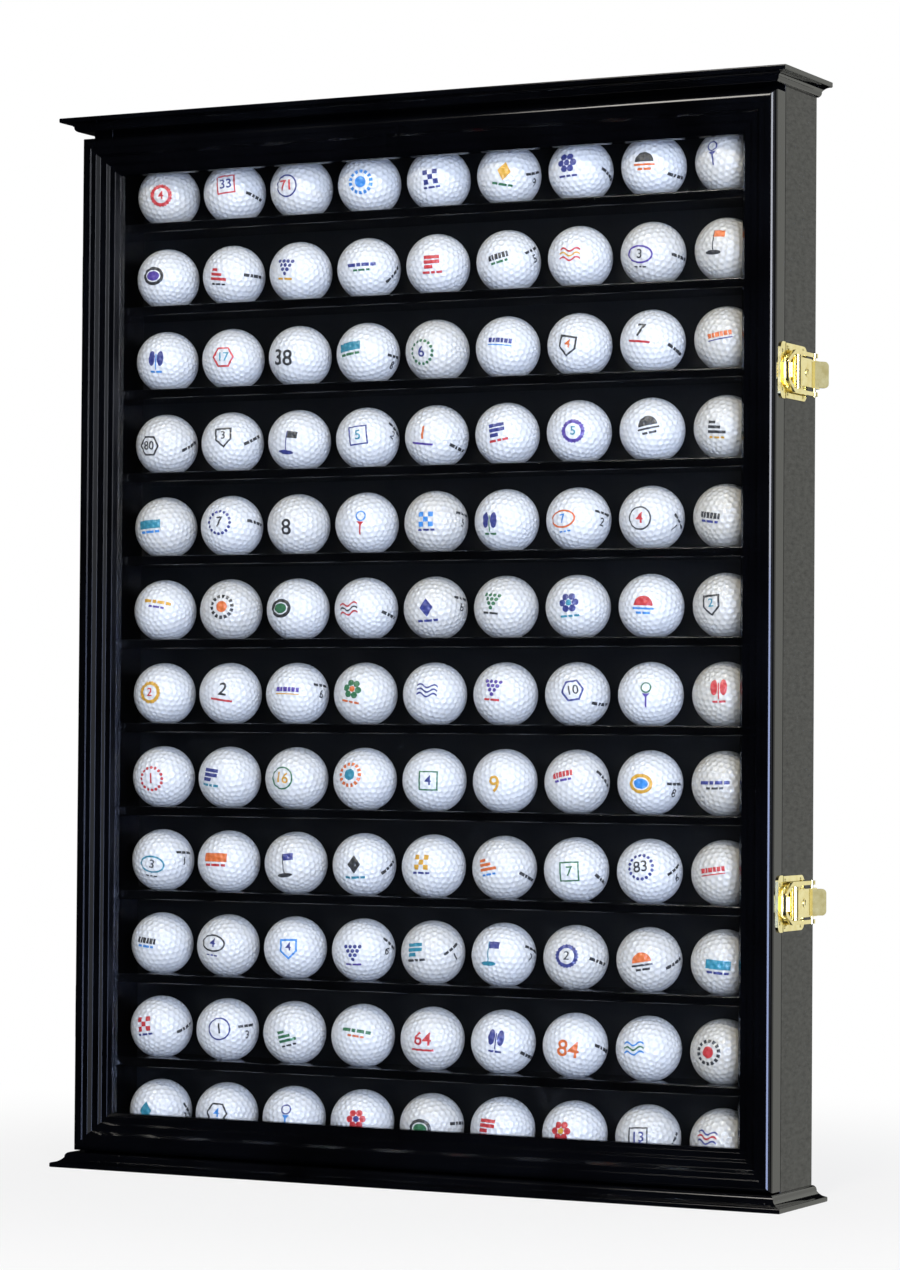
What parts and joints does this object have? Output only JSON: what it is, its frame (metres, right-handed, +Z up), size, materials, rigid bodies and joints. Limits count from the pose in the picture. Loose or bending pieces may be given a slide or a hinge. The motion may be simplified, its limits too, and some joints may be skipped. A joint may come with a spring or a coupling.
{
  "type": "golf ball display case",
  "caption": "Tall shallow black wooden display case with rows of ball shelves behind a hinged clear door, routed crown and base boards and side draw latches.",
  "frame": {"origin": "middle of the base board's underside", "axes": "+X to the right of someone facing the door, +Y back towards the wall, +Z up"},
  "size_m": [0.539, 0.0804, 0.718],
  "materials": {
    "black_paint": "black gloss lacquer over wood",
    "black_back": "satin black painted hardboard",
    "clear_panel": "clear, polished",
    "ball_cover": "white gloss",
    "hinge_brass": "aged brass plate",
    "latch_brass": "polished brass plate",
    "zinc_steel": "zinc plate"
  },
  "bodies": {
    "case": {"left_side": "black_paint", "right_side": "black_paint", "top_panel": "black_paint", "bottom_panel": "black_paint", "back_panel": "black_back", "crown_board": "black_paint", "base_board": "black_paint", "shelf_01": "black_paint", "shelf_02": "black_paint", "shelf_03": "black_paint", "shelf_04": "black_paint", "shelf_05": "black_paint", "shelf_06": "black_paint", "shelf_07": "black_paint", "shelf_08": "black_paint", "shelf_09": "black_paint", "shelf_10": "black_paint", "shelf_11": "black_paint", "ball_row_01": "ball_cover", "ball_row_02": "ball_cover", "ball_row_03": "ball_cover", "ball_row_04": "ball_cover", "ball_row_05": "ball_cover", "ball_row_06": "ball_cover", "ball_row_07": "ball_cover", "ball_row_08": "ball_cover", "ball_row_09": "ball_cover", "ball_row_10": "ball_cover", "ball_row_11": "ball_cover", "ball_row_12": "ball_cover", "upper_hinge_case_leaf": "hinge_brass", "lower_hinge_case_leaf": "hinge_brass", "hinge_pins": "hinge_brass", "hinge_case_screws": "hinge_brass", "upper_latch_base": "latch_brass", "lower_latch_base": "latch_brass", "lever_pins": "latch_brass", "latch_case_screws": "latch_brass", "wall_hangers": "zinc_steel", "hanger_screws": "zinc_steel"},
    "door": {"door_left_stile": "black_paint", "door_right_stile": "black_paint", "door_top_rail": "black_paint", "door_bottom_rail": "black_paint", "door_panel": "clear_panel", "upper_hinge_door_leaf": "hinge_brass", "lower_hinge_door_leaf": "hinge_brass", "hinge_door_screws": "hinge_brass", "upper_latch_strike": "latch_brass", "lower_latch_strike": "latch_brass", "latch_door_screws": "latch_brass"},
    "upper_lever": {"upper_latch_lever": "latch_brass", "upper_bail_pin": "latch_brass"},
    "upper_bail": {"upper_latch_bail": "latch_brass"},
    "upper_lock": {"upper_lock_plug": "latch_brass"},
    "lower_lever": {"lower_latch_lever": "latch_brass", "lower_bail_pin": "latch_brass"},
    "lower_bail": {"lower_latch_bail": "latch_brass"},
    "lower_lock": {"lower_lock_plug": "latch_brass"}
  },
  "joints": [
    {"name": "door_hinge", "type": "hinge", "parent": "case", "child": "door", "pos_m": [-0.2621, -0.0125, 0.358], "axis": [0, 0, -1], "range_deg": [0, 170]},
    {"name": "upper_lever_swing", "type": "hinge", "parent": "case", "child": "upper_lever", "pos_m": [0.2618, -0.0009, 0.5285], "axis": [0, 0, -1], "range_deg": [0, 100]},
    {"name": "upper_bail_swing", "type": "hinge", "parent": "upper_lever", "child": "upper_bail", "pos_m": [0.2614, 0.0284, 0.5285], "axis": [0, 0, 1], "range_deg": [0, 80]},
    {"name": "upper_lock_turn", "type": "hinge", "parent": "upper_lever", "child": "upper_lock", "pos_m": [0.2649, 0.0082, 0.5285], "axis": [1, 0, 0], "range_deg": [0, 90]},
    {"name": "lower_lever_swing", "type": "hinge", "parent": "case", "child": "lower_lever", "pos_m": [0.2618, -0.0009, 0.1915], "axis": [0, 0, -1], "range_deg": [0, 100]},
    {"name": "lower_bail_swing", "type": "hinge", "parent": "lower_lever", "child": "lower_bail", "pos_m": [0.2614, 0.0284, 0.1915], "axis": [0, 0, 1], "range_deg": [0, 80]},
    {"name": "lower_lock_turn", "type": "hinge", "parent": "lower_lever", "child": "lower_lock", "pos_m": [0.2649, 0.0082, 0.1915], "axis": [1, 0, 0], "range_deg": [0, 90]}
  ],
  "couplings": [
    {"joint": "upper_bail_swing", "follows": "upper_lever_swing", "ratio": 0.8},
    {"joint": "lower_bail_swing", "follows": "lower_lever_swing", "ratio": 0.8}
  ]
}
